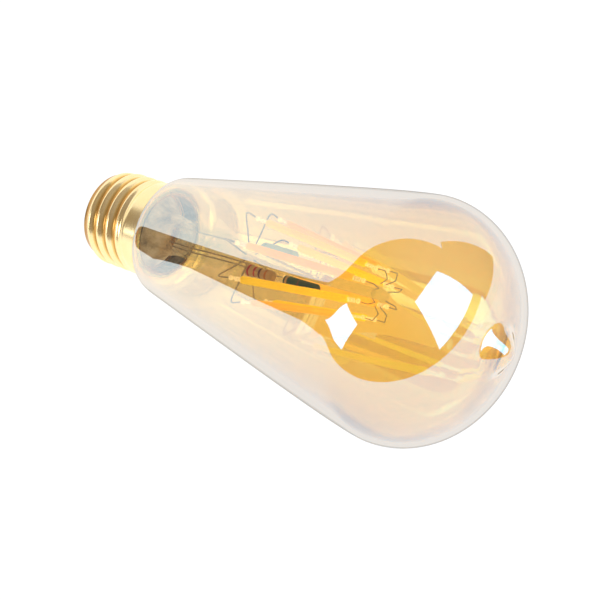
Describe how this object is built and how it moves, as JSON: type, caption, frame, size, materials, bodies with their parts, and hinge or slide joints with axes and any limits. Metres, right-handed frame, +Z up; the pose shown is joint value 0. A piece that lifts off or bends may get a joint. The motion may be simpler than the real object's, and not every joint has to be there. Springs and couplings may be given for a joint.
{
  "type": "smart light bulb",
  "caption": "Pear-shaped amber-glass smart filament bulb with an eight-strip filament cage, glass mount, radio driver and 27 mm screw cap, lying at rest.",
  "frame": {"origin": "centre of the footprint of the lying bulb, on the surface that it rests on", "axes": "+X from the cap towards the glass along the floor, +Z up; the bulb's own axis lies in the XZ plane and rises towards the dome"},
  "size_m": [0.139, 0.0638, 0.0637],
  "materials": {
    "amber_glass": "polished, with a thin gold lustre that fades out at the neck",
    "clear_glass": "polished",
    "brass_cap": "polished",
    "insulator": "smooth",
    "contact_metal": "tinned",
    "cement": "rough",
    "circuit_board": "solder mask",
    "wire_nickel": "drawn",
    "filament_cool": "phosphor coating",
    "filament_warm": "phosphor coating",
    "resistor_body": "lacquered, colour bands",
    "green_body": "dipped",
    "blue_body": "dipped",
    "dark_plastic": "moulded",
    "shield_metal": "pressed",
    "live_insulation": "insulated wire",
    "neutral_insulation": "insulated wire"
  },
  "bodies": {
    "root": {"glass_envelope": "amber_glass", "screw_cap": "brass_cap", "cap_insulator": "insulator", "centre_contact": "contact_metal", "basing_cement": "cement", "driver_board": "circuit_board", "stem_flare": "clear_glass", "stem_seal": "clear_glass", "exhaust_tube": "clear_glass", "centre_rod": "clear_glass", "rod_button": "clear_glass", "lead_wire_common": "wire_nickel", "lead_wire_warm": "wire_nickel", "lead_wire_cool": "wire_nickel", "banded_resistor": "resistor_body", "green_inductor": "green_body", "blue_resistor": "blue_body", "filament_cool_1": "filament_cool", "foot_arm_1": "wire_nickel", "head_arm_1": "wire_nickel", "filament_warm_1": "filament_warm", "foot_arm_2": "wire_nickel", "head_arm_2": "wire_nickel", "filament_cool_2": "filament_cool", "foot_arm_3": "wire_nickel", "head_arm_3": "wire_nickel", "filament_warm_2": "filament_warm", "foot_arm_4": "wire_nickel", "head_arm_4": "wire_nickel", "filament_cool_3": "filament_cool", "foot_arm_5": "wire_nickel", "head_arm_5": "wire_nickel", "filament_warm_3": "filament_warm", "foot_arm_6": "wire_nickel", "head_arm_6": "wire_nickel", "filament_cool_4": "filament_cool", "foot_arm_7": "wire_nickel", "head_arm_7": "wire_nickel", "filament_warm_4": "filament_warm", "foot_arm_8": "wire_nickel", "head_arm_8": "wire_nickel", "smoothing_capacitor": "dark_plastic", "power_inductor": "dark_plastic", "bridge_rectifier": "dark_plastic", "control_chip": "dark_plastic", "radio_board": "circuit_board", "radio_shield": "shield_metal", "fusible_resistor": "resistor_body", "live_wire": "live_insulation", "neutral_wire": "neutral_insulation"}
  },
  "joints": []
}
